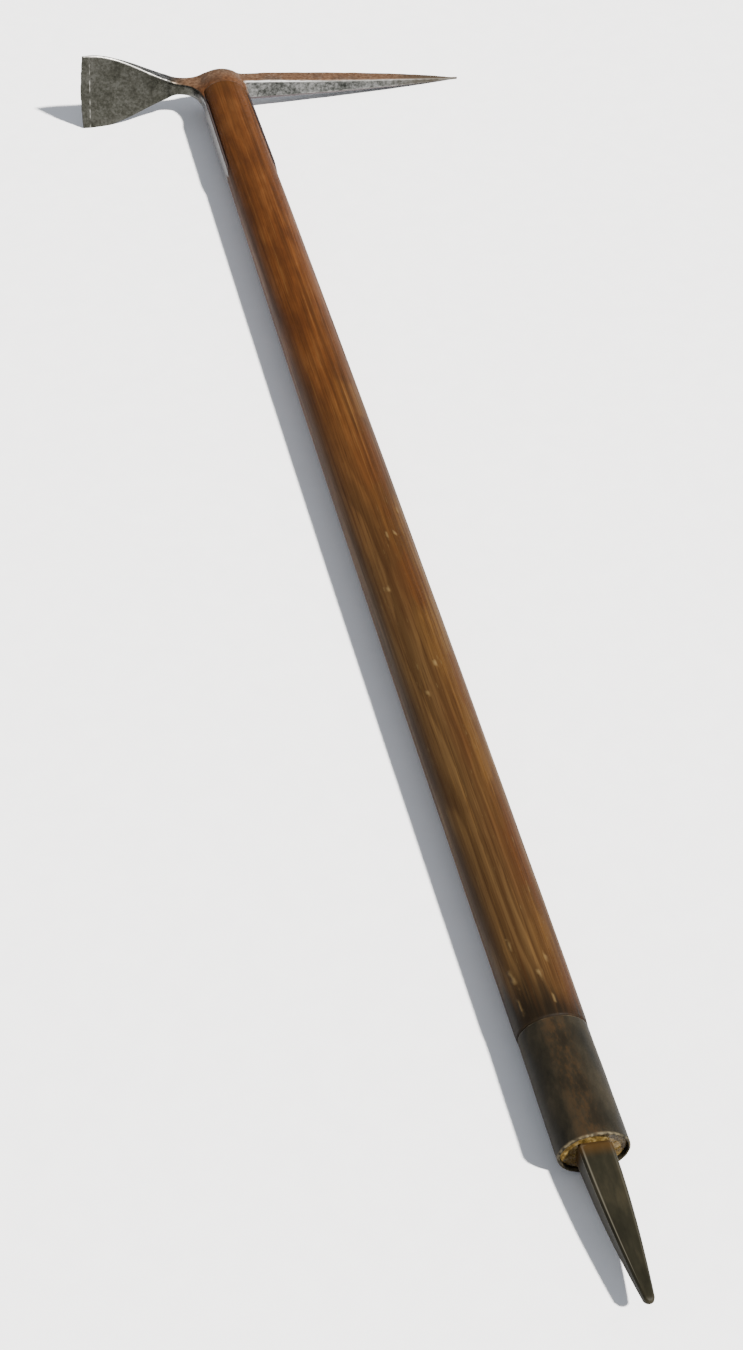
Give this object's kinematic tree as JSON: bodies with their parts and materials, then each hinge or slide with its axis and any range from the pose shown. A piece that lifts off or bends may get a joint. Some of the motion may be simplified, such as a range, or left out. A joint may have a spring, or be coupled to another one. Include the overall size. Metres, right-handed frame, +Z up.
{
  "type": "long wooden-shafted ice axe",
  "caption": "Long antique-pattern ice axe: forged head with straight pick and fan adze, riveted side straps, oval wooden shaft, steel ferrule and square spike.",
  "frame": {"origin": "under the middle of the whole axe's box, at its lowest point (the lower corner of the adze)", "axes": "+Y along the shaft towards the head, +X towards the pick point, -X towards the adze, +Z up; the axe lies on its side"},
  "size_m": [0.306, 1.156, 0.062],
  "materials": {
    "forged_steel": "hand-forged steel, grey-black with worn bright arrises and brown patina round the socket",
    "shaft_wood": "old varnished ash, warm orange-brown, straight grain, darker towards the ferrule",
    "rivet_steel": "soft steel, hammered and filed flush",
    "ferrule_steel": "dark brown-black oxidised steel with a rusty streak and polished rims",
    "nail_steel": "flush nail head, worn pale",
    "packing": "golden-brown hardened pitch, glossy and uneven",
    "spike_steel": "dark olive-brown steel with polished corner chamfers and tip"
  },
  "bodies": {
    "root": {"head": "forged_steel", "shaft": "shaft_wood", "rivet_upper": "rivet_steel", "rivet_middle": "rivet_steel", "rivet_lower": "rivet_steel", "ferrule": "ferrule_steel", "ferrule_nail": "nail_steel", "mouth_packing": "packing", "spike": "spike_steel"}
  },
  "joints": []
}
